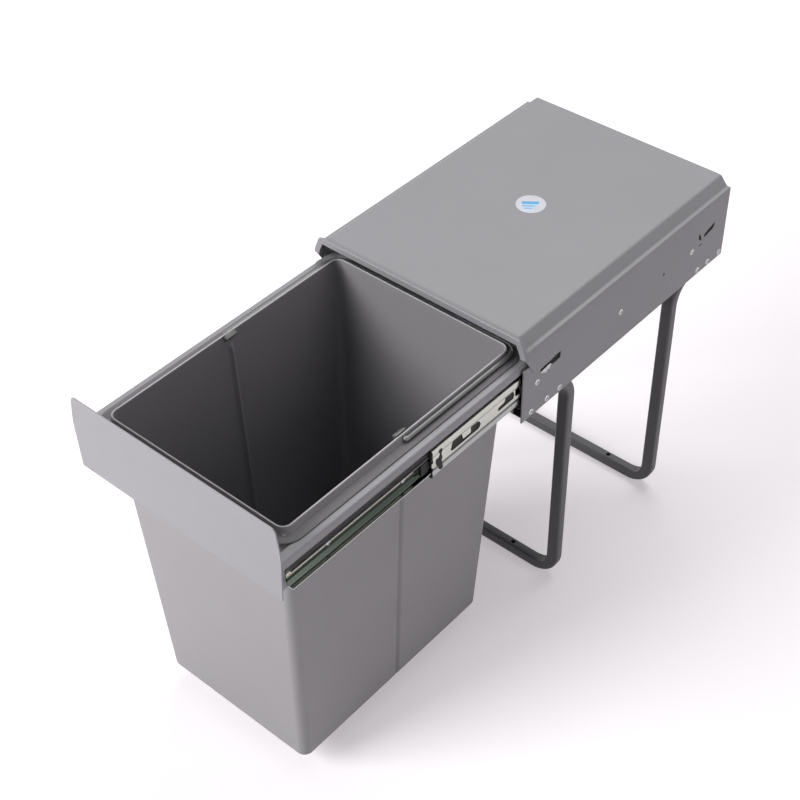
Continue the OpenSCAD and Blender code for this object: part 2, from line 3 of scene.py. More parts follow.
import bmesh
import bpy
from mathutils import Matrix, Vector


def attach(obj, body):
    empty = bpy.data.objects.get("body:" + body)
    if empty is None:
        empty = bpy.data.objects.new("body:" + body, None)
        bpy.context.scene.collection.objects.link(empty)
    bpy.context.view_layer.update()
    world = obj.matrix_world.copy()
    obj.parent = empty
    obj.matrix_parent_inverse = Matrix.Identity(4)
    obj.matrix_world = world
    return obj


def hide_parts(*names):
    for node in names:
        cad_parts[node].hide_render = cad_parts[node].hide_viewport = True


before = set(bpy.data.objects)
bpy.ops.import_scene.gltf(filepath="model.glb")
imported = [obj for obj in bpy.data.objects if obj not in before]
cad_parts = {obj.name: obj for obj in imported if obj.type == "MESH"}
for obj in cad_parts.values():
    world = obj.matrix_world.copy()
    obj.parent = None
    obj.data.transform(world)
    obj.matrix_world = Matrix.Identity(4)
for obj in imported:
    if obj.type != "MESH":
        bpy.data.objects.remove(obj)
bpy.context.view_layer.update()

# Studio: a white table under large soft lamps, the brightest of them ahead and to the
# left, seen from above the drawer's right front corner.
camera_data = bpy.data.cameras.new("camera")
camera_data.sensor_width = 36
camera_data.lens = 70.907
camera_data.clip_end = 20
camera = bpy.data.objects.new("camera", camera_data)
bpy.context.scene.collection.objects.link(camera)
camera.location = (0.83209, -1.15522, 1.41865)
camera.rotation_euler = (0.835662, 0.0144666, 0.7126235)
bpy.context.scene.camera = camera
bpy.context.scene.view_settings.view_transform = "Standard"


def lamp(name, spot, aim, size, watts, tint=(1, 1, 1)):
    data = bpy.data.lights.new(name, "AREA")
    data.shape = "RECTANGLE"
    data.size, data.size_y = size
    data.energy = watts
    data.color = tint
    obj = bpy.data.objects.new(name, data)
    bpy.context.scene.collection.objects.link(obj)
    obj.location = spot
    obj.rotation_euler = (Vector(aim) - Vector(spot)).to_track_quat("-Z", "Y").to_euler()


lamp("soft_front_left", (-1.2, -2.7, 1.8), (0, -0.1, 0.3), size=(1.7, 1.3), watts=95)
lamp("soft_overhead", (-0.3, 0.9, 2.6), (0, 0, 0.3), size=(1.8, 1.8), watts=36)
lamp("soft_right", (2.4, 0.2, 1.3), (0, -0.1, 0.3), size=(1.2, 1.6), watts=9, tint=(1, 0.97, 1))


def feed(tree, socket, value):
    """Links an output to a socket, or sets a plain value on it."""
    if isinstance(value, bpy.types.NodeSocket):
        tree.links.new(value, socket)
    else:
        socket.default_value = value


def calc(tree, operation, *values):
    """The result of a Math node."""
    node = tree.nodes.new("ShaderNodeMath")
    node.operation = operation
    for socket, value in zip(node.inputs, values):
        feed(tree, socket, value)
    return node.outputs["Value"]


def ramp(tree, value, low, high, start=0, end=1):
    """Goes from start, where the value is low, to end, where it is high."""
    node = tree.nodes.new("ShaderNodeMapRange")
    for label, given in (
            ("Value", value), ("From Min", low), ("From Max", high), ("To Min", start), ("To Max", end)):
        feed(tree, node.inputs[label], given)
    return node.outputs["Result"]


def mixed(tree, factor, a, b):
    """The colour a where the factor is 0, and b where it is 1."""
    node = tree.nodes.new("ShaderNodeMix")
    node.data_type = "RGBA"
    for label, given in (("Factor", factor), ("A", a), ("B", b)):
        feed(tree, node.inputs[label], given)
    return node.outputs["Result"]


def background_seen(tree):
    """1 for rays from the camera or off a glossy or clear surface, and 0 for all others."""
    rays = tree.nodes.new("ShaderNodeLightPath")
    seen = rays.outputs["Is Camera Ray"]
    for kind in ("Is Glossy Ray", "Is Transmission Ray"):
        seen = calc(tree, "MAXIMUM", seen, rays.outputs[kind])
    return seen


white = (1, 1, 1, 1)
world = bpy.data.worlds.new("studio")
bpy.context.scene.world = world
world.use_nodes = True
tree = world.node_tree
room = mixed(tree, background_seen(tree), (0.133, 0.134, 0.14, 1), white)
tree.links.new(room, tree.nodes["Background"].inputs["Color"])

floor_half = 9
glow_near = 0.9
glow_far = 3.2
floor_mesh = bpy.data.meshes.new("floor")
floor_corners = [(x * floor_half, y * floor_half, 0) for x, y in ((-1, -1), (1, -1), (1, 1), (-1, 1))]
floor_mesh.from_pydata(floor_corners, [], [(0, 1, 2, 3)])
floor = bpy.data.objects.new("floor", floor_mesh)
bpy.context.scene.collection.objects.link(floor)
floor_look = bpy.data.materials.new("white_table")
floor_look.use_nodes = True
tree = floor_look.node_tree
shader = tree.nodes["Principled BSDF"]
shader.inputs["Base Color"].default_value = (0.82, 0.8, 0.82, 1)
shader.inputs["Roughness"].default_value = 0.9
shader.inputs["Specular IOR Level"].default_value = 0.1
shader.inputs["Emission Strength"].default_value = 1
spot = tree.nodes.new("ShaderNodeTexCoord")
away = tree.nodes.new("ShaderNodeVectorMath")
away.operation = "LENGTH"
tree.links.new(spot.outputs["Object"], away.inputs[0])
distant = ramp(tree, away.outputs["Value"], glow_near, glow_far)
glow = mixed(tree, distant, (0.37, 0.345, 0.36, 1), white)
glow = mixed(tree, background_seen(tree), (0, 0, 0, 1), glow)
tree.links.new(glow, shader.inputs["Emission Color"])
floor_mesh.materials.append(floor_look)


# Powder coat: the satin grey paint of the housing and the carrier, sprayed and baked. It has
# a very fine orange peel, and its tone changes faintly over a sheet.
def noise(tree, vector, scale, detail, rough):
    node = tree.nodes.new("ShaderNodeTexNoise")
    for label, given in (("Vector", vector), ("Scale", scale), ("Detail", detail), ("Roughness", rough)):
        feed(tree, node.inputs[label], given)
    return node.outputs["Fac"]


def surface(tree, given, out):
    """A broad noise mixes the two colours, and a fine one sets roughness and height."""
    spot = tree.nodes.new("ShaderNodeTexCoord")
    stretched = tree.nodes.new("ShaderNodeVectorMath")
    stretched.operation = "MULTIPLY"
    tree.links.new(spot.outputs["Object"], stretched.inputs[0])
    tree.links.new(given.outputs["Stretch"], stretched.inputs[1])
    vector = stretched.outputs["Vector"]
    fine = noise(tree, vector, given.outputs["Grain scale"], detail=4, rough=0.5)
    broad = noise(tree, vector, given.outputs["Patch scale"], detail=5, rough=0.6)
    patches = ramp(tree, broad, 0.3, 0.7)
    colour = mixed(tree, patches, given.outputs["Colour"], given.outputs["Second colour"])
    rough = ramp(tree, fine, 0, 1, given.outputs["Smoothest"], given.outputs["Roughest"])
    bump = tree.nodes.new("ShaderNodeBump")
    bump.inputs["Distance"].default_value = 0.0004
    tree.links.new(given.outputs["Bump"], bump.inputs["Strength"])
    tree.links.new(fine, bump.inputs["Height"])
    tree.links.new(colour, out.inputs["Colour"])
    tree.links.new(rough, out.inputs["Roughness"])
    tree.links.new(bump.outputs["Normal"], out.inputs["Normal"])


grain = bpy.data.node_groups.new("fine_grain", "ShaderNodeTree")
for label, kind, value in (
        ("Colour", "NodeSocketColor", (0.3, 0.3, 0.3, 1)),
        ("Second colour", "NodeSocketColor", (0.3, 0.3, 0.3, 1)),
        ("Stretch", "NodeSocketVector", (1, 1, 1)),
        ("Grain scale", "NodeSocketFloat", 900),
        ("Patch scale", "NodeSocketFloat", 9),
        ("Smoothest", "NodeSocketFloat", 0.4),
        ("Roughest", "NodeSocketFloat", 0.5),
        ("Bump", "NodeSocketFloat", 0.1)):
    grain.interface.new_socket(label, in_out="INPUT", socket_type=kind).default_value = value
for label, kind in (
        ("Colour", "NodeSocketColor"), ("Roughness", "NodeSocketFloat"), ("Normal", "NodeSocketVector")):
    grain.interface.new_socket(label, in_out="OUTPUT", socket_type=kind)
surface(grain, grain.nodes.new("NodeGroupInput"), grain.nodes.new("NodeGroupOutput"))


def finish(name, colour, second, scale, patch, rough, bump,
        stretch=(1, 1, 1), metal=0.0, specular=0.5):
    """A material in two near tones, with grain and patches so many to the metre."""
    look = bpy.data.materials.new(name)
    look.use_nodes = True
    tree = look.node_tree
    shader = tree.nodes["Principled BSDF"]
    shader.inputs["Metallic"].default_value = metal
    shader.inputs["Specular IOR Level"].default_value = specular
    node = tree.nodes.new("ShaderNodeGroup")
    node.name = "Grain"
    node.node_tree = grain
    for label, value in (
            ("Colour", (*colour, 1)), ("Second colour", (*second, 1)), ("Stretch", stretch),
            ("Grain scale", scale), ("Patch scale", patch),
            ("Smoothest", rough[0]), ("Roughest", rough[1]), ("Bump", bump)):
        node.inputs[label].default_value = value
    tree.links.new(node.outputs["Colour"], shader.inputs["Base Color"])
    tree.links.new(node.outputs["Roughness"], shader.inputs["Roughness"])
    tree.links.new(node.outputs["Normal"], shader.inputs["Normal"])
    return look


housing_paint = finish(
    "housing_powder_coat", (0.285, 0.279, 0.295), (0.268, 0.263, 0.277),
    scale=1100, patch=8, rough=(0.4, 0.52), bump=0.12)
carrier_paint = finish(
    "carrier_powder_coat", (0.295, 0.288, 0.308), (0.278, 0.272, 0.29),
    scale=1100, patch=8, rough=(0.38, 0.5), bump=0.12)

# Lid: one folded steel sheet with sloped shoulders, side ledges and skirts that hooks over
# the side panels. Its front edge is flared up to a rounded crest and turned down into a
# narrow band that wraps the corners.
housing_front = 190.5
lid_half = 142.8
lid_top = 420
ledge_z = 409
skirt_front = 400
skirt_drop = 24.6
skirt_slope = 15
crest_d = 1


def place(x, d, z):
    """Millimetres, with d measured back from the housing's front edge, to the part's frame."""
    return (x / 1000, (d - housing_front) / 1000, z / 1000)


def corner(a, b, c, r, n):
    """The arc that rounds corner b."""
    a, b, c = Vector(a), Vector(b), Vector(c)
    u, w = (a - b).normalized(), (c - b).normalized()
    half = u.angle(w) / 2
    m = b + (u + w).normalized() * r / math.sin(half)
    p, q = b + u * r / math.tan(half) - m, b + w * r / math.tan(half) - m
    first = math.atan2(p.y, p.x)
    turn = (math.atan2(q.y, q.x) - first + 3 * math.pi) % (2 * math.pi) - math.pi
    angles = [first + turn * i / n for i in range(n + 1)]
    return [(m.x + r * math.cos(angle), m.y + r * math.sin(angle)) for angle in angles]


def rounded(path, radii, n=6):
    """A path with an arc at each inner point that has a radius."""
    out = [tuple(path[0])]
    for i in range(1, len(path) - 1):
        out += corner(path[i - 1], path[i], path[i + 1], radii[i], n) if radii[i] else [tuple(path[i])]
    return out + [tuple(path[-1])]


def smooth(obj, angle):
    obj.data.shade_smooth()
    obj.data.set_sharp_from_angle(angle=math.radians(angle))


def piece(name, verts, faces, look, angle=35):
    mesh = bpy.data.meshes.new(name)
    mesh.from_pydata(verts, [], faces)
    mesh.materials.append(look)
    obj = bpy.data.objects.new(name, mesh)
    bpy.context.scene.collection.objects.link(obj)
    smooth(obj, angle)
    return obj


def skin(rings, closed, start=0):
    """Vertices and faces of a surface through rings of equal length."""
    n = len(rings[0])
    verts = [p for ring in rings for p in ring]
    faces = []
    for k in range(len(rings) - 1):
        low = start + k * n
        for i in range(n if closed else n - 1):
            j = (i + 1) % n
            faces.append((low + i, low + j, low + n + j, low + n + i))
    return verts, faces


def mend(obj, turn=True):
    """Joins double vertices and turns every face outward."""
    bm = bmesh.new()
    bm.from_mesh(obj.data)
    bmesh.ops.remove_doubles(bm, verts=bm.verts, dist=1e-6)
    if turn:
        bmesh.ops.recalc_face_normals(bm, faces=bm.faces)
    bm.to_mesh(obj.data)
    bm.free()


def soft_edges(obj, width, angle=50):
    edge = obj.modifiers.new("edges", "BEVEL")
    edge.width = width
    edge.segments = 2
    edge.limit_method = "ANGLE"
    edge.angle_limit = math.radians(angle)
    edge.harden_normals = True


def offset(path, t):
    """A path shifted by t to its left."""
    out = []
    for i, p in enumerate(path):
        a, b = path[max(i - 1, 0)], path[max(i, 1)]
        c, e = path[min(i, len(path) - 2)], path[min(i + 1, len(path) - 1)]
        m = Vector((a[1] - b[1], b[0] - a[0])).normalized()
        n = Vector((c[1] - e[1], e[0] - c[0])).normalized()
        v = (m + n) * t / (1 + m.dot(n))
        out.append((p[0] + v.x, p[1] + v.y))
    return out


def lid_section(flare, low, inset=0):
    """From skirt to skirt, with the ledges and shoulders flared by 0 to 1."""
    half = [
        (lid_half, low), (lid_half, ledge_z - 5 * flare),
        (138 + 2.6 * flare, ledge_z + 0.5 * flare), (128.5 + 6.9 * flare, lid_top + 2 * flare)]
    radii = [0] + [max(r - inset, 0.4) for r in (1.5, 3, 5, 5, 3, 1.5)] + [0]
    return rounded(offset(half + [(-x, z) for x, z in reversed(half)], inset), radii)


def skirt_low(d):
    """The skirt's lower edge, which slopes down behind the crest and then runs level."""
    return skirt_front - max(0, min(skirt_slope, d - crest_d)) * skirt_drop / skirt_slope


flares = (
    (376, 0), (374, 0), (250, 0), (120, 0), (40, 0), (16, 0), (11, 0), (9.5, 0.01), (8.2, 0.04),
    (7, 0.11), (5.9, 0.22), (4.9, 0.37), (4, 0.54), (3.2, 0.72), (2.5, 0.86), (1.9, 0.95),
    (1.4, 0.99), (crest_d, 1))
rings = [[place(x, d, z) for x, z in lid_section(flare, skirt_low(d))] for d, flare in flares]
verts, faces = skin(rings, False)
turn_down = (
    (0, crest_d), (0.02, 0.75), (0.12, 0.45), (0.32, 0.22), (0.6, 0.1), (1, 0.06), (6.5, 0.06), (7, 0.1))
band = [[place(x, d, z) for x, z in lid_section(1, skirt_front, inset)] for inset, d in turn_down]
more, sides = skin(band, False, len(verts))
lid = piece("lid_sheet", verts + more, faces + sides, housing_paint, 30)
mend(lid, False)
thick = lid.modifiers.new("sheet", "SOLIDIFY")
thick.thickness = 0.00098
thick.offset = -1
soft_edges(lid, 0.0002, 60)
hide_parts("lid")
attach(lid, "housing")

# Sticker: a round film label on the lid, white with three plain blue bars, pressed flat with
# a softly rounded rim.
sticker_d = 195
sticker_middle = place(0, sticker_d, lid_top)
bar_turn = 38
bar_edge = 0.00015


def within(tree, value, middle, half, blur):
    """1 where the value is within half of the middle, 0 outside, with a blurred edge."""
    away = calc(tree, "ABSOLUTE", calc(tree, "SUBTRACT", value, middle))
    return ramp(tree, away, half + blur, half - blur)


film = finish(
    "sticker_film", (0.66, 0.67, 0.72), (0.6, 0.61, 0.66),
    scale=700, patch=60, rough=(0.2, 0.3), bump=0.03)
tree = film.node_tree
spot = tree.nodes.new("ShaderNodeTexCoord")
bars = 0
for x, y, long, wide in ((-1.8, 1.6, 9.5, 2.6), (0.2, -4.6, 6.8, 1.1), (2.4, -8.4, 4.8, 0.9)):
    local = tree.nodes.new("ShaderNodeMapping")
    local.vector_type = "TEXTURE"
    local.inputs["Location"].default_value = (x / 1000, sticker_middle[1] + y / 1000, 0)
    local.inputs["Rotation"].default_value = (0, 0, math.radians(bar_turn))
    tree.links.new(spot.outputs["Object"], local.inputs["Vector"])
    split = tree.nodes.new("ShaderNodeSeparateXYZ")
    tree.links.new(local.outputs["Vector"], split.inputs["Vector"])
    along = within(tree, split.outputs["X"], 0, long / 1000 - bar_edge, bar_edge)
    across = within(tree, split.outputs["Y"], 0, wide / 1000 - bar_edge, bar_edge)
    bars = calc(tree, "MAXIMUM", bars, calc(tree, "MULTIPLY", along, across))
ink = mixed(tree, bars, tree.nodes["Grain"].outputs["Colour"], (0.05, 0.42, 0.82, 1))
tree.links.new(ink, tree.nodes["Principled BSDF"].inputs["Base Color"])


def circle(r, n):
    """Points round a circle about the origin."""
    return [(r * math.cos(2 * math.pi * i / n), r * math.sin(2 * math.pi * i / n)) for i in range(n)]


def spun(profile, n):
    """A closed body turned around Z from radii and heights that start and end on the axis."""
    rings = [[(x, y, z) for x, y in circle(r, n)] for r, z in profile[1:-1]]
    verts, faces = skin(rings, True)
    a, b = len(verts), len(verts) + 1
    verts += [(0, 0, profile[0][1]), (0, 0, profile[-1][1])]
    top = (len(rings) - 1) * n
    faces += [(a, (i + 1) % n, i) for i in range(n)]
    faces += [(b, top + i, top + (i + 1) % n) for i in range(n)]
    return verts, faces


disc = [
    (0, 0), (16.6, 0), (16.75, 0.06), (16.75, 0.14), (16.6, 0.21), (16.2, 0.245), (8, 0.25), (0, 0.25)]
verts, faces = spun(disc, 96)
sticker = piece("lid_label", [place(x, sticker_d + y, lid_top + z) for x, y, z in verts], faces, film, 50)
mend(sticker)
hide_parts("lid_sticker")
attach(sticker, "housing")

# Leg frames: rectangular steel tube bent twice at each side; the bending tool pressed the
# floor bends flat on their inner side. Coated darker than the housing, riveted in the panels.
tube_wide = 15
tube_narrow = 12
tube_corner = 2.5
tube_wall = 1.2
tube_x = 132.8
tube_z = 322
bend = 33
floor_bend = 28
bar_z = 7.5
bar_half = tube_x - floor_bend
leg_foot = bar_z + floor_bend
pressed_depth = 2.6
pressed_bulge = 0.05
floor_hole_x = 73
floor_hole_r = 2.75
leg_paint = finish(
    "leg_powder_coat", (0.094, 0.092, 0.097), (0.084, 0.082, 0.086),
    scale=1100, patch=10, rough=(0.36, 0.48), bump=0.12)


def box_section(a, b, r):
    """A rectangle of a by b with rounded corners, from its right upper one round to the left."""
    out = []
    for i, (x, y) in enumerate((
            (a / 2 - r, b / 2 - r), (r - a / 2, b / 2 - r), (r - a / 2, r - b / 2), (a / 2 - r, r - b / 2))):
        angles = [math.pi / 2 * (i + k / 5) for k in range(6)]
        out += [(x + r * math.cos(angle), y + r * math.sin(angle)) for angle in angles]
    return out


def leg_stations(d, end, way):
    """Middle, wide axis, narrow axis and flattening, from the right tube end to the floor bar."""
    quarter = [math.radians(90 * i / 16) for i in range(17)]
    level = d + way * bend - end
    out = [((tube_x, end + level * i / 3, tube_z), (1, 0, 0), (0, 0, 1), 0) for i in range(3)]
    for angle in quarter:
        s, c = math.sin(angle), math.cos(angle)
        middle = (tube_x, d + way * bend * (1 - s), tube_z - bend * (1 - c))
        out.append((middle, (1, 0, 0), (0, -way * s, c), 0))
    upright = tube_z - bend - leg_foot
    for i in range(1, 6):
        out.append(((tube_x, d, leg_foot + upright * (1 - i / 6)), (1, 0, 0), (0, -way, 0), 0))
    for angle in quarter:
        s, c = math.sin(angle), math.cos(angle)
        middle = (bar_half + floor_bend * c, d, leg_foot - floor_bend * s)
        out.append((middle, (c, 0, -s), (0, -way, 0), math.sin(2 * angle) ** 2))
    for i in range(1, 5):
        out.append(((bar_half - bar_half * i / 4, d, bar_z), (0, 0, -1), (0, -way, 0), 0))
    return out


def leg_rings(stations, inset):
    """The tube's outer or inner surface, from its right end round by the floor to its left end."""
    rings = []
    for m, wide, narrow, press in stations:
        ring = []
        for a, b in box_section(tube_wide - 2 * inset, tube_narrow - 2 * inset, tube_corner - inset):
            b *= 1 + pressed_bulge * press * (a < 0)
            a = max(a, -tube_wide / 2 + inset + pressed_depth * press)
            ring.append(place(*[m[k] + a * wide[k] + b * narrow[k] for k in range(3)]))
        rings.append(ring)
    return rings + [[(-x, y, z) for x, y, z in ring] for ring in reversed(rings[:-1])]


def carve(obj, cutters):
    """Cuts closed bodies, given as vertices and faces, out of a piece."""
    for verts, faces in cutters:
        tool = piece("cutter", verts, faces, obj.data.materials[0])
        mend(tool)
        cut = obj.modifiers.new("cut", "BOOLEAN")
        cut.operation = "DIFFERENCE"
        cut.solver = "EXACT"
        cut.object = tool
        bpy.context.view_layer.update()
        done = bpy.data.meshes.new_from_object(obj.evaluated_get(bpy.context.evaluated_depsgraph_get()))
        obj.modifiers.clear()
        old = obj.data
        obj.data = done
        bpy.data.meshes.remove(old)
        bpy.data.objects.remove(tool)
    return obj


def loft(ends):
    """A closed body between outlines of equal length."""
    verts, faces = skin(ends, True)
    n = len(ends[0])
    return verts, faces + [tuple(range(n))[::-1], tuple(range(len(verts) - n, len(verts)))]


for name, d, end, way in (("leg_frame_front", 92, 6, -1), ("leg_frame_rear", 289, 376, 1)):
    stations = leg_stations(d, end, way)
    outer, inner = leg_rings(stations, 0), leg_rings(stations, tube_wall)
    verts, faces = skin(outer, True)
    more, sides = skin(inner, True, len(verts))
    n, hollow, last = len(outer[0]), len(verts), (len(outer) - 1) * len(outer[0])
    for i in range(n):
        j = (i + 1) % n
        sides.append((i, j, hollow + j, hollow + i))
        sides.append((last + i, last + j, hollow + last + j, hollow + last + i))
    leg = piece(name + "_tube", verts + more, faces + sides, leg_paint, 40)
    mend(leg)
    carve(leg, [loft([[place(x + a, d + b, z) for a, b in circle(floor_hole_r, 32)] for z in (-1, 17)])
        for x in (-floor_hole_x, floor_hole_x)])
    smooth(leg, 40)
    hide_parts(name)
    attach(leg, "housing")

# Rivets and screws: plated blind rivets with a domed flange and the broken mandrel in its
# middle, and pan head screws with a cross recess. Each row is set out on its holes, every
# one turned a little differently.
panel_inside = 140.3
panel_thick = 1.5
panel_outside = panel_inside + panel_thick
slide_z = 357
frame_rivet_rows = (15.5, 42.2, 64.5, 326.2, 347.2, 371)
slide_rivet_rows = (23.7, 171, 308.9)
rail_outside = 128.8
rail_screw_rows = (-275.6, -170.6, -20)
plated = finish(
    "bright_plating", (0.52, 0.52, 0.53), (0.4, 0.4, 0.41),
    scale=500, patch=140, rough=(0.16, 0.34), bump=0.06, metal=1.0)
rows = bpy.data.node_groups.new("fastener_row", "GeometryNodeTree")
for label, kind in (
        ("Geometry", "NodeSocketGeometry"), ("Fastener", "NodeSocketObject"),
        ("Seed", "NodeSocketInt"), ("Look", "NodeSocketMaterial")):
    rows.interface.new_socket(label, in_out="INPUT", socket_type=kind)
rows.interface.new_socket("Geometry", in_out="OUTPUT", socket_type="NodeSocketGeometry")
given, out = rows.nodes.new("NodeGroupInput"), rows.nodes.new("NodeGroupOutput")
fastener = rows.nodes.new("GeometryNodeObjectInfo")
facing = rows.nodes.new("GeometryNodeInputNamedAttribute")
facing.data_type = "FLOAT_VECTOR"
facing.inputs["Name"].default_value = "facing"
aim = rows.nodes.new("FunctionNodeAlignRotationToVector")
aim.axis = "Z"
turned = rows.nodes.new("FunctionNodeRandomValue")
turned.data_type = "FLOAT"
turned.inputs[3].default_value = math.pi
about = rows.nodes.new("ShaderNodeCombineXYZ")
spin = rows.nodes.new("FunctionNodeRotateRotation")
spin.rotation_space = "LOCAL"
put = rows.nodes.new("GeometryNodeInstanceOnPoints")
real = rows.nodes.new("GeometryNodeRealizeInstances")
dress = rows.nodes.new("GeometryNodeSetMaterial")
for a, b in (
        (given.outputs["Fastener"], fastener.inputs["Object"]),
        (given.outputs["Seed"], turned.inputs["Seed"]),
        (facing.outputs["Attribute"], aim.inputs["Vector"]),
        (aim.outputs["Rotation"], spin.inputs["Rotation"]),
        (turned.outputs[1], about.inputs["Z"]),
        (about.outputs["Vector"], spin.inputs["Rotate By"]),
        (given.outputs["Geometry"], put.inputs["Points"]),
        (fastener.outputs["Geometry"], put.inputs["Instance"]),
        (spin.outputs["Rotation"], put.inputs["Rotation"]),
        (put.outputs["Instances"], real.inputs["Geometry"]),
        (real.outputs["Geometry"], dress.inputs["Geometry"]),
        (given.outputs["Look"], dress.inputs["Material"]),
        (dress.outputs["Geometry"], out.inputs["Geometry"])):
    rows.links.new(a, b)


def set_out(name, x, places, z, source, seed):
    """Fasteners that face outward from x on both sides, one at each of the places along a side."""
    spots = [(side * x, d, side) for side in (1, -1) for d in places]
    mesh = bpy.data.meshes.new(name)
    mesh.from_pydata([place(spot, d, z) for spot, d, side in spots], [], [])
    facing = mesh.attributes.new("facing", "FLOAT_VECTOR", "POINT")
    facing.data.foreach_set("vector", [v for spot, d, side in spots for v in (side, 0, 0)])
    row = bpy.data.objects.new(name + "_points", mesh)
    bpy.context.scene.collection.objects.link(row)
    mod = row.modifiers.new("rows", "NODES")
    mod.node_group = rows
    sockets = [s for s in rows.interface.items_tree if s.item_type == "SOCKET" and s.in_out == "INPUT"]
    ids = {s.name: s.identifier for s in sockets}
    mod[ids["Fastener"]] = source
    mod[ids["Seed"]] = seed
    mod[ids["Look"]] = plated
    bpy.context.view_layer.update()
    done = bpy.data.meshes.new_from_object(row.evaluated_get(bpy.context.evaluated_depsgraph_get()))
    obj = bpy.data.objects.new(name, done)
    bpy.context.scene.collection.objects.link(obj)
    bpy.data.objects.remove(row)
    bpy.data.objects.remove(source)
    done.materials.clear()
    done.materials.append(plated)
    smooth(obj, 40)
    return obj


def lathe(profile):
    """A fastener turned from radii and heights in millimetres, with its seat at height 0."""
    verts, faces = spun(profile, 28)
    obj = piece("pattern", [(x / 1000, y / 1000, z / 1000) for x, y, z in verts], faces, plated, 40)
    mend(obj)
    return obj


dome = [
    (3.8, 0), (3.8, 0.3), (3.6, 0.55), (3.1, 0.85), (2.5, 1.06), (2, 1.15), (1.75, 1.1), (1.6, 0.8),
    (1.5, 0.1), (1.35, -0.6), (0.95, -0.7), (0.8, -0.3), (0, -0.2)]
long_shank = [(0, -3.7), (2.7, -3.7), (3, -3.4), (3, -2.72), (1.95, -2.7), (1.95, 0)]
short_shank = [(0, -2.7), (1.7, -2.7), (1.95, -2.45), (1.95, 0)]
rivets = set_out(
    "frame_rivet_heads", panel_outside, frame_rivet_rows, tube_z, lathe(long_shank + dome), seed=3)
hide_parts("frame_rivets")
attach(rivets, "housing")
rivets = set_out(
    "slide_rivet_heads", panel_outside, slide_rivet_rows, slide_z, lathe(short_shank + dome), seed=8)
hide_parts("slide_rivets")
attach(rivets, "housing")

pan_screw = [
    (0, -5.2), (1.5, -5.2), (1.95, -4.7), (1.95, 0), (3.3, 0), (3.3, 0.7), (3.1, 1.25), (2.5, 1.7),
    (1.6, 1.93), (0, 2)]
arm_long = 1.7
arm_wide = 0.32
recess = []
for w, h in ((arm_wide, arm_long), (arm_long, arm_wide)):
    mouth = [(-w / 1000, -h / 1000), (w / 1000, -h / 1000), (w / 1000, h / 1000), (-w / 1000, h / 1000)]
    recess.append(loft([[(x * k, y * k, z) for x, y in mouth] for k, z in ((1, 0.0025), (0.55, 0.00075))]))
screws = set_out(
    "rail_screw_heads", rail_outside, rail_screw_rows, slide_z, carve(lathe(pan_screw), recess), seed=5)
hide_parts("rail_screws")
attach(screws, "carriage")


# Ball slides: three rolled steel channels a side, zinc plated with a faint green and yellow
# tinge that runs along the strip. The middle one has a raised web, pierced slots and a black
# end clip; a black disconnect lever sits in the inner one. The outer channels are coloured near
# black and the inner ones dark as painted shade, and level stripes of painted reflection and
# painted shade run along the middle and inner ones.
def painted_light_bands(look, base, tones):
    """Paints light and shade into a finish in level stripes, each between two heights over the base."""
    tree = look.node_tree
    colour = tree.nodes["Grain"].outputs["Colour"]
    spot = tree.nodes.new("ShaderNodeTexCoord")
    split = tree.nodes.new("ShaderNodeSeparateXYZ")
    tree.links.new(spot.outputs["Object"], split.inputs["Vector"])
    for low, high, blur, tone in tones:
        middle, half = (base + (low + high) / 2) / 1000, (high - low) / 2000
        inside = within(tree, split.outputs["Z"], middle, half, blur / 1000)
        colour = mixed(tree, inside, colour, (*tone, 1))
    tree.links.new(colour, tree.nodes["Principled BSDF"].inputs["Base Color"])


zinc = finish(
    "zinc_plating", (0.5, 0.52, 0.48), (0.56, 0.555, 0.5),
    scale=420, patch=26, rough=(0.2, 0.3), bump=0.02, stretch=(1, 0.14, 1), metal=1.0)
# Painted reflection and shade on the middle channels: a dark stripe below the raised web, a dark line above
# it, and a slightly darker lowest flank.
painted_light_bands(zinc, slide_z, (
    (-9.2, -4.4, 0.7, (0.085, 0.09, 0.085)), (9.3, 10.1, 0.4, (0.12, 0.125, 0.12)),
    (-16.8, -9.6, 0.3, (0.42, 0.43, 0.42))))
# The outer channels are coloured near black: painted shade, so that the slots and holes in front of them read
# dark.
outer_zinc_painted_shade = finish(
    "outer_slide_painted_shade", (0.012, 0.013, 0.012), (0.02, 0.02, 0.018),
    scale=420, patch=26, rough=(0.35, 0.5), bump=0.02, stretch=(1, 0.14, 1), metal=1.0)
# The inner channels are coloured dark green-grey as painted shade, with level stripes of painted reflection
# on the web, the upper lip and the lower edge, and a painted dark line below the web.
inner_zinc_painted_light = finish(
    "inner_slide_painted_light", (0.045, 0.062, 0.05), (0.06, 0.075, 0.062),
    scale=420, patch=22, rough=(0.12, 0.2), bump=0.01, stretch=(1, 0.12, 1), metal=1.0)
painted_light_bands(inner_zinc_painted_light, slide_z, (
    (-2.9, 2.8, 0.4, (0.56, 0.52, 0.42)), (11.2, 13, 0.3, (0.5, 0.5, 0.47)),
    (-12.9, -11.2, 0.2, (0.4, 0.42, 0.41)), (-5.6, -5.1, 0.2, (0.14, 0.17, 0.14))))
cage_steel = finish(
    "cage_strip", (0.016, 0.015, 0.013), (0.026, 0.024, 0.02),
    scale=600, patch=60, rough=(0.35, 0.5), bump=0.05, stretch=(1, 0.2, 1), metal=1.0)
nylon = finish(
    "black_nylon", (0.006, 0.006, 0.006), (0.011, 0.011, 0.011),
    scale=900, patch=60, rough=(0.5, 0.65), bump=0.1, specular=0.25)


def both_ways(half):
    """A path through corners of depth, height and bend radius, and on through their mirror images."""
    path = [(u, v) for u, v, r in half] + [(u, -v) for u, v, r in reversed(half)]
    radii = [r for u, v, r in half] + [r for u, v, r in reversed(half)]
    return path, radii


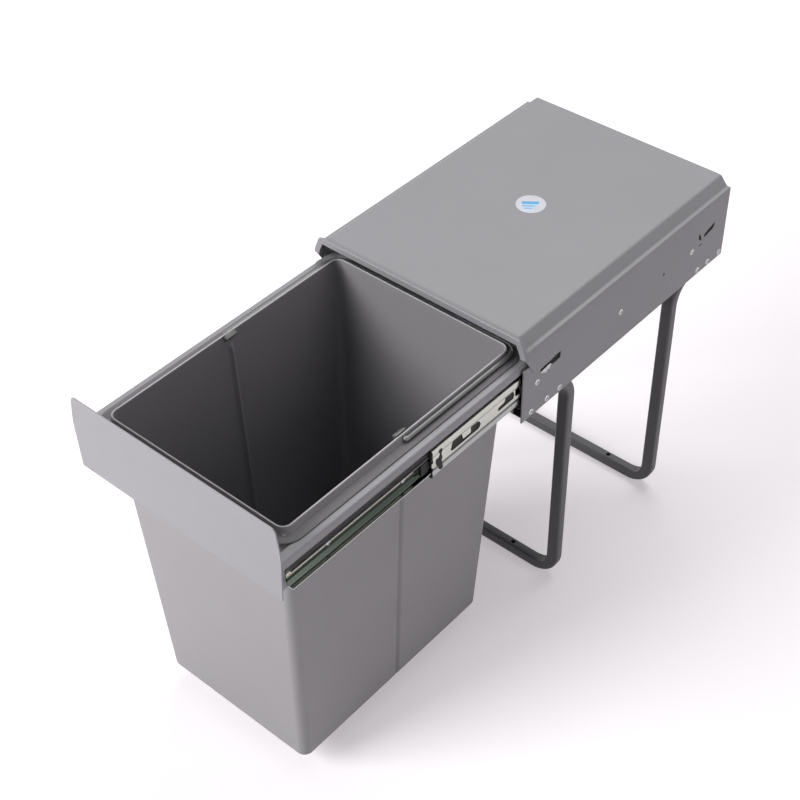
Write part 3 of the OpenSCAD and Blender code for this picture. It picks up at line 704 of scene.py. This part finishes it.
def channel(half, t):
    """The section of a strip t thick that is folded along such a path."""
    path, radii = both_ways(half)
    inner_radii = [max(r - abs(t), 0.15) if r else 0 for r in radii]
    return rounded(path, radii, 4) + list(reversed(rounded(offset(path, t), inner_radii, 4)))


def strip(side, outline, front, rear):
    """A bar with a section of depth u inward from the side panel and height v over the slide's middle."""
    return loft([[place(side * (panel_inside - u), d, slide_z + v) for u, v in outline]
        for d in (front, rear)])


def plug(side, outline, shallow, deep):
    """A block with an outline of d and v, between two depths."""
    return loft([[place(side * (panel_inside - u), d, slide_z + v) for d, v in outline]
        for u in (shallow, deep)])


def rod(d, z, r, left, right):
    """A round cutter along X."""
    return loft([[place(x, d + a, z + b) for a, b in circle(r, 32)] for x in (left, right)])


def soft(outline, r):
    """A closed outline with every corner rounded."""
    out = []
    for i, b in enumerate(outline):
        a, c = outline[i - 1], outline[(i + 1) % len(outline)]
        to_a, to_c = Vector(a) - Vector(b), Vector(c) - Vector(b)
        half = to_a.angle(to_c) / 2
        most = 0.45 * min(to_a.length, to_c.length) * math.tan(half)
        out += corner(a, b, c, min(r, most), 4) if half < 1.5 else [tuple(b)]
    return out


def add(obj, *bodies):
    """Puts more closed bodies into a piece."""
    bm = bmesh.new()
    bm.from_mesh(obj.data)
    for verts, faces in bodies:
        more = piece("more", verts, faces, obj.data.materials[0])
        mend(more)
        bm.from_mesh(more.data)
        bpy.data.objects.remove(more)
    bm.to_mesh(obj.data)
    bm.free()


def keep(name, look, width=0.00022):
    """A CAD body stays, with its own look and, where a width is given, softened edges."""
    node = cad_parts[name]
    node.data.materials.clear()
    node.data.materials.append(look)
    node.modifiers.new("weld", "WELD").merge_threshold = 0.000002
    if width:
        soft_edges(node, width)


outer_section = channel(
    [(9, 21.1, 0), (8.4, 21.5, 0.4), (4.8, 21.5, 0.6), (4, 21.1, 0.6), (0, 21.1, 1.6)], 1.15)
middle_section = rounded(*both_ways([
    (9.5, 17, 0), (8.5, 17, 0.4), (7.7, 16.58, 0.8), (5.3, 16.58, 0.8), (4.5, 17, 0.4), (2.4, 17, 1.7),
    (2.4, 8.7, 1), (1.6, 4.6, 0.8)]), 4)
middle_section += reversed(rounded(*both_ways([
    (9.5, 15.9, 0), (8.4, 15.9, 0.4), (7.6, 15.55, 0.8), (5.4, 15.55, 0.8), (4.6, 15.9, 0.4),
    (2.95, 15.9, 0.8)]), 4))
inner_section = channel([(3.6, 12.1, 0), (4.8, 12.4, 0.5), (9.4, 12.4, 1.6), (12.7, 7.6, 1.2)], -1.15)
slots = [
    [(-110.6, 2.3), (-108.8, 6.5), (-106.4, 9.5), (-92.6, 9.7), (-91.7, 2.4), (-79.6, 2.6), (-79.2, 8.7),
        (-68.5, 8.7), (-65.2, 6.5), (-64.2, 3.2), (-65.4, 0.2), (-68.5, -1.2), (-106.5, -1.2),
        (-109.4, -0.6)],
    [(-36.9, 2.2), (-36.2, 4.4), (-26.8, 5.2), (-25.1, 6.7), (-24.6, 9), (-11.2, 9), (-10.2, 4.5),
        (-11.5, 0), (-34.3, -0.4), (-36.4, 0.6)],
    [(-9, 4.5), (-8.2, 9), (2, 9), (6, 4.5), (2, 0), (-8.2, 0)]]
window = [
    (-122.3, 12.5), (-126.2, 13.6), (-128.1, 10.8), (-126.1, 7.6), (-129, 4.8), (-133, 5.4),
    (-133.6, 1.6), (-131.9, -4.5), (-129, -5.8), (-127.6, -12.1), (-124.1, -14.8), (-121.7, -14.2),
    (-121.8, -9.5), (-124.1, -2.5), (-123.2, 2), (-124.2, 6.2), (-122.7, 8.5)]
web_tongue = [(-139, -3), (-139, 3), (-136.5, 3.4), (-136.5, -3.4)]
clip_parts = (
    ([(-134.5, -15), (-134.5, 15), (-121.5, 15), (-121.5, -15)], 3.02, 3.4),
    ([(-139, 8.2), (-139, 16.4), (-137.1, 16.6), (-137.1, 8)], 1.9, 6.5),
    ([(-139, -16.6), (-139, -13.5), (-137.1, -12), (-137.1, -16.8)], 1.9, 6.5),
    ([(-139, 3.6), (-139, 12), (-136, 12), (-133.5, 8), (-133.5, 3.6)], 3.02, 3.4))
lever_d = -128
lever_bore = 2.12
stud = ((11.6, 3.2), (8.65, 3.2), (8.6, 2), (4.95, 2), (4.9, 3), (4.6, 3), (4.45, 2.6))
grip = [(-151, -7.3), (-151, 7.3), (-141.5, 7.3), (-140, 4.5)]
grip += [(-140 + 4 * i, 4.5 - 0.9 * (i % 2)) for i in range(1, 8)]
grip += [(-108, 4.2), (-108, -4.2), (-112, -4.5), (-140, -4.5), (-141.5, -7.3)]
for name, side in (("left", -1), ("right", 1)):
    outer = piece(
        "outer_member_" + name + "_channel", *strip(side, outer_section, front=3, rear=353), outer_zinc_painted_shade, 30)
    mend(outer)
    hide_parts("outer_member_" + name)
    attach(outer, "housing")

    middle = piece(
        "middle_member_" + name + "_channel", *strip(side, middle_section, front=-137, rear=173), zinc, 30)
    mend(middle)
    carve(middle, [plug(side, soft(outline, 1.6), 0.5, 4.4) for outline in slots + [window]])
    add(middle, plug(side, soft(web_tongue, 0.6), 1.7, 2.9))
    smooth(middle, 30)
    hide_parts("middle_member_" + name)
    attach(middle, "middle_" + name + "_body")

    clip = piece("clip_" + name, *plug(side, soft(window, 1.4), 2.1, 3.3), nylon, 40)
    mend(clip)
    add(clip, *(plug(side, soft(outline, 0.6), shallow, deep) for outline, shallow, deep in clip_parts))
    smooth(clip, 40)
    soft_edges(clip, 0.00015)
    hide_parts("middle_clip_" + name)
    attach(clip, "middle_" + name + "_body")

    inner = piece(
        "inner_member_" + name + "_channel", *strip(side, inner_section, front=-330, rear=11), inner_zinc_painted_light, 30)
    mend(inner)
    add(inner, loft([[place(side * (panel_inside - u), lever_d + a, slide_z + b) for a, b in circle(r, 24)]
        for u, r in stud]))
    smooth(inner, 30)
    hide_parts("inner_member_" + name)
    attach(inner, "carriage")

    lever = piece("lever_" + name + "_plate", *plug(side, soft(grip, 0.9), 5.1, 8.4), nylon, 40)
    mend(lever)
    carve(lever, [rod(lever_d, slide_z, lever_bore, side * 131, side * 136.5)])
    smooth(lever, 40)
    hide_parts("lever_" + name)
    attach(lever, "lever_" + name + "_body")
    keep("outer_cage_" + name, cage_steel, 0)
    keep("inner_cage_" + name, cage_steel, 0)

# Side panels: flat steel sheets pierced with round holes, a slit and hook slots, coated like
# the lid and riveted to the leg frames. A bent tab of the slide stands in each front slot.
panel_outline = [(0, -41), (378, -41), (378, 50.5), (20, 50.5), (12, 28), (0, 29.5)]
slit = [(322.9, -0.4), (328.9, -0.4), (328.9, 1.2), (322.9, 1.2)]
hooks = [
    [(28, 13.8), (44.6, 14.8), (54, 16.4), (62.9, 16.4), (62.4, 7.8), (53.6, 7.2), (47, 7.4),
        (42.5, 4.8), (38, 4.4), (29, 9.6)],
    [(319.6, 16.4), (322.4, 17), (325.4, 11.4), (327.4, 7.8), (325.2, 6.8), (321.4, 10.4)],
    [(331.3, 11.4), (339.5, 14.2), (346.5, 15.6), (349.4, 18), (352.8, 18), (352.4, 12.2), (349, 9.6),
        (341, 8.8), (333.5, 6.4)]]
tab = [
    (29.2, 9.6), (36, 9.9), (45.6, 11.2), (47, 9.4), (44.2, 8.6), (43.4, 6.4), (40.2, 6.6),
    (38.6, 4.6), (36.4, 5.4), (30, 8.6)]
rivet_hole = 2
small_hole = (252.8, 359, 1.8)
holes = [(d, tube_z, rivet_hole) for d in frame_rivet_rows]
holes += [(d, slide_z, rivet_hole) for d in slide_rivet_rows] + [small_hole]
for name, side in (("left", -1), ("right", 1)):
    panel = piece("panel_" + name, *plug(side, panel_outline, -panel_thick, 0), housing_paint)
    mend(panel)
    cutters = [rod(d, z, r, side * 139, side * 143) for d, z, r in holes]
    cutters += [plug(side, soft(outline, 1.2), -3, 1) for outline in hooks]
    carve(panel, cutters + [plug(side, slit, -3, 1)])
    smooth(panel, 30)
    soft_edges(panel, 0.0002)
    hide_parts("side_panel_" + name)
    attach(panel, "housing")

    hook = piece("hook_tab_" + name, *loft([
        [place(side * (panel_inside - u), d, slide_z + v - drop) for d, v in soft(tab, 0.8)]
        for u, drop in ((-2.2, 0.5), (-1.9, 0.2), (-1.2, 0), (-0.1, 0))]), plated)
    mend(hook)
    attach(hook, "housing")

# Carrier: two flanged rails and a rear cross rail of folded sheet, coated like the lid, and a
# flat front plate with leaning ends and small rounded corners. The CAD's rails stay.
keep("rail_left", carrier_paint, 0)
keep("rail_right", carrier_paint, 0)
keep("rear_cross_rail", carrier_paint)
plate_faces = (-343.3, -341.8)
plate_paint = finish(
    "plate_powder_coat", (0.315, 0.306, 0.328), (0.3, 0.291, 0.311),
    scale=1100, patch=8, rough=(0.38, 0.5), bump=0.12)
half = [(0, 340), (135.5, 340), (138, 388), (138, 402), (134, 431.5)]
edge_radii = [0, 0.8, 30, 30, 6, 6, 30, 30, 0.8, 0]
edge = rounded(half + [(-x, z) for x, z in reversed(half)], edge_radii, 8)[:-1]
plate = piece("plate_sheet", *loft([[place(x, d, z) for x, z in edge] for d in plate_faces]), plate_paint)
mend(plate)
soft_edges(plate, 0.0003)
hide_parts("front_plate")
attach(plate, "carriage")

# Bucket: injection-moulded polypropylene with a very fine spark texture. It has drafted walls,
# an upright groove in each long wall, a rim wall, and a rolled ledge that hangs on the rails.
bucket_half = 118
bucket_front = -318.5
bucket_back = 9.5
bucket_top = 400
bucket_bottom = 25
bucket_corner = 11
bucket_wall = 2
bucket_floor = 27
outer_bend = 3
inner_bend = 4
ledge_low = 390.2
ledge_high = 393.4
side_draft = 16
front_draft = 15.5
back_draft = 24.5
bail_d = -155.75
bail_z = 395.3
bail_hole = 2.6
groove_half = 3.9
groove_depth = 3
groove_top = 388
groove_foot = 26
# A painted highlight: a lighter line along the top of the rim wall, inside and out.
rim_painted_highlight = ((-0.5, 0.5, 0.3, (0.5, 0.49, 0.5)),)
poly = finish(
    "bucket_polypropylene", (0.318, 0.305, 0.319), (0.3, 0.287, 0.301),
    scale=1500, patch=7, rough=(0.42, 0.56), bump=0.12, specular=0.4)
# The inside is a darker copy of the same polypropylene: painted shade.
poly_inside_painted_shade = finish(
    "bucket_inside_painted_shade", (0.245, 0.237, 0.249), (0.232, 0.224, 0.236),
    scale=1500, patch=7, rough=(0.46, 0.6), bump=0.1, specular=0.3)
# The ledge is coloured darker than the rest of the bucket: painted shade for the trough between the rim wall
# and the rails.
ledge_painted_shade = finish(
    "bucket_ledge_painted_shade", (0.15, 0.144, 0.15), (0.14, 0.134, 0.14),
    scale=1500, patch=7, rough=(0.42, 0.56), bump=0.12, specular=0.3)
painted_light_bands(poly, bucket_top, rim_painted_highlight)
painted_light_bands(poly_inside_painted_shade, bucket_top, rim_painted_highlight)
groove = []
for along in range(-8, 9):
    phase = math.pi * max(-1, min(1, along / groove_half))
    groove.append((along, 0.5 + 0.5 * math.cos(phase)))


def bucket_ring(x, y0, y1, r, z, g):
    """Half width, front and rear d, corner radius, height and groove depth."""
    out = []
    for k, (cx, cy) in enumerate(((x - r, y1 - r), (r - x, y1 - r), (r - x, y0 + r), (x - r, y0 + r))):
        angles = [math.pi / 2 * (k + i / 12) for i in range(13)]
        out += [(cx + r * math.cos(angle), cy + r * math.sin(angle), z) for angle in angles]
        if k == 1:
            out += [(-x + g * depth, bail_d - along, z) for along, depth in groove]
        if k == 3:
            out += [(x - g * depth, bail_d + along, z) for along, depth in groove]
    return [place(*p) for p in out]


def wall(w, z, g=None):
    """The drafted wall, w inward of its outer face, with the groove fading out at both ends."""
    t = (bucket_top - z) / (bucket_top - bucket_bottom)
    if g is None:
        g = groove_depth * max(0, min(1, (groove_top - z) / 8)) ** 0.8 * max(0, min(1, (z - groove_foot) / 3))
    return bucket_ring(
        bucket_half - w - side_draft * t, bucket_front + w + front_draft * t,
        bucket_back - w - back_draft * t, bucket_corner - w, z, g)


def rim(o, z):
    """The rim and its ledge, o outward of the wall's top."""
    return bucket_ring(bucket_half + o, bucket_front - o, bucket_back + o, bucket_corner + o, z, 0)


wall_levels = (60, 110, 170, 230, 290, 340, 370, 378, 380, 381.5, 383, 384.5, 386, 387.4, 388.4, 389.8)
rim_levels = (
    (0.4, 390.3), (1, 390.5), (11.6, 390.5), (12.3, 390.7), (12.5, 391.2), (12.4, 391.7), (11.8, 392),
    (9.5, 392.3), (7, 392.5), (4, 392.5), (2.2, 392.55), (1.6, 393), (1.3, 393.8), (0.6, 396.5),
    (0.1, 399), (-0.1, 399.6), (-0.5, 399.95), (-1, 400), (-1.5, 399.95), (-1.9, 399.6))
levels = [wall(7, bucket_bottom), wall(outer_bend, bucket_bottom)]
for angle in (20, 40, 60, 80):
    s, c = math.sin(math.radians(angle)), math.cos(math.radians(angle))
    levels.append(wall(outer_bend * (1 - s), bucket_bottom + outer_bend - outer_bend * c))
levels += [wall(0, z) for z in (28, 32, *wall_levels)]
levels += [rim(o, z) for o, z in rim_levels]
levels += [wall(bucket_wall, z) for z in (399, 392, *reversed(wall_levels), 36)]
for angle in (0, 22, 45, 67, 90):
    s, c = math.sin(math.radians(angle)), math.cos(math.radians(angle))
    levels.append(wall(
        bucket_wall + inner_bend * (1 - c), bucket_floor + inner_bend - inner_bend * s,
        groove_depth - angle / 30))
bucket = piece("bucket_shell", *loft(levels + [wall(9, bucket_floor, 0)]), poly, 40)
mend(bucket)
bucket.data.materials.append(ledge_painted_shade)
bucket.data.materials.append(poly_inside_painted_shade)
# Faces of the ledge take its painted shade, and the inside walls and floor the inside's painted shade.
for face in bucket.data.polygons:
    x, y, z = face.center * 1000
    d = y + housing_front
    beyond_rim = abs(x) > bucket_half + 0.3 or not bucket_front - 0.3 < d < bucket_back + 0.3
    looks_in = face.normal.x * x + face.normal.y * (d - bail_d) < 0
    inner_wall = looks_in and bucket_bottom + 1 < z < bucket_top - 0.6
    inner_floor = face.normal.z > 0.5 and z < bucket_bottom + 75
    if beyond_rim and ledge_low < z < ledge_high:
        face.material_index = 1
    elif inner_wall or inner_floor:
        face.material_index = 2
carve(bucket, [rod(bail_d, bail_z, bail_hole, side * 112, side * 122) for side in (1, -1)])
smooth(bucket, 40)
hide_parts("bucket")
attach(bucket, "bucket_body")

# Bail: a coated round wire bent round the bucket's rim. Its ends turn in through the walls,
# swell to a small boss outside and carry inside a tab that rises over the rim and slopes inward.
wire = 2.5
bow_half = 121.5
bow_d = 13
bow_corner = 14.5
elbow = 1.2
wire_coat = finish(
    "bail_coating", (0.17, 0.176, 0.168), (0.15, 0.156, 0.149),
    scale=900, patch=30, rough=(0.24, 0.36), bump=0.08, metal=0.3)


def hoop(x, d, across, r):
    """The wire's outline about a point of its middle, with the level direction across it."""
    return [place(x + a * across[0], d + a * across[1], bail_z + b) for a, b in circle(r, 20)]


rings = []
for x, r in ((113.9, 1.6), (113.9, 2.3), (114.3, wire), (119, wire), (119.3, 2.9)):
    rings.append(hoop(x, bail_d, (0, 1), r))
for angle in range(0, 91, 10):
    c, s = math.cos(math.radians(angle)), math.sin(math.radians(angle))
    rings.append(hoop(
        bow_half - elbow + elbow * s, bail_d + elbow - elbow * c, (-s, c), 2.95 - 0.1 * angle / 90))
for d, r in ((-152.6, 2.7), (-151.4, wire), (-100, wire), (-50, wire)):
    rings.append(hoop(bow_half, d, (-1, 0), r))
for angle in range(0, 91, 6):
    c, s = math.cos(math.radians(angle)), math.sin(math.radians(angle))
    rings.append(hoop(
        bow_half - bow_corner + bow_corner * c, bow_d - bow_corner + bow_corner * s, (-c, -s), wire))
for x in (50, 0):
    rings.append(hoop(x, bow_d, (0, -1), wire))
rings += [[(-x, y, z) for x, y, z in ring] for ring in reversed(rings[:-1])]
bail = piece("bail_wire", *loft(rings), wire_coat, 50)
mend(bail)
flap_x = 113
flap_z = 397.5
flap = soft([
    (115.5, 393), (115.5, 401.3), (114.4, 401.9), (110.2, 398.8), (110.2, 397.2), (113.2, 398),
    (113.2, 393)], 0.5)
for side in (-1, 1):
    add(bail, loft([
        [place(side * (flap_x + (x - flap_x) * k), d, flap_z + (z - flap_z) * k) for x, z in flap]
        for d, k in ((-163.5, 0.92), (-163.1, 1), (-149.9, 1), (-149.5, 0.92))]))
smooth(bail, 40)
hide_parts("bail_handle")
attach(bail, "bail")
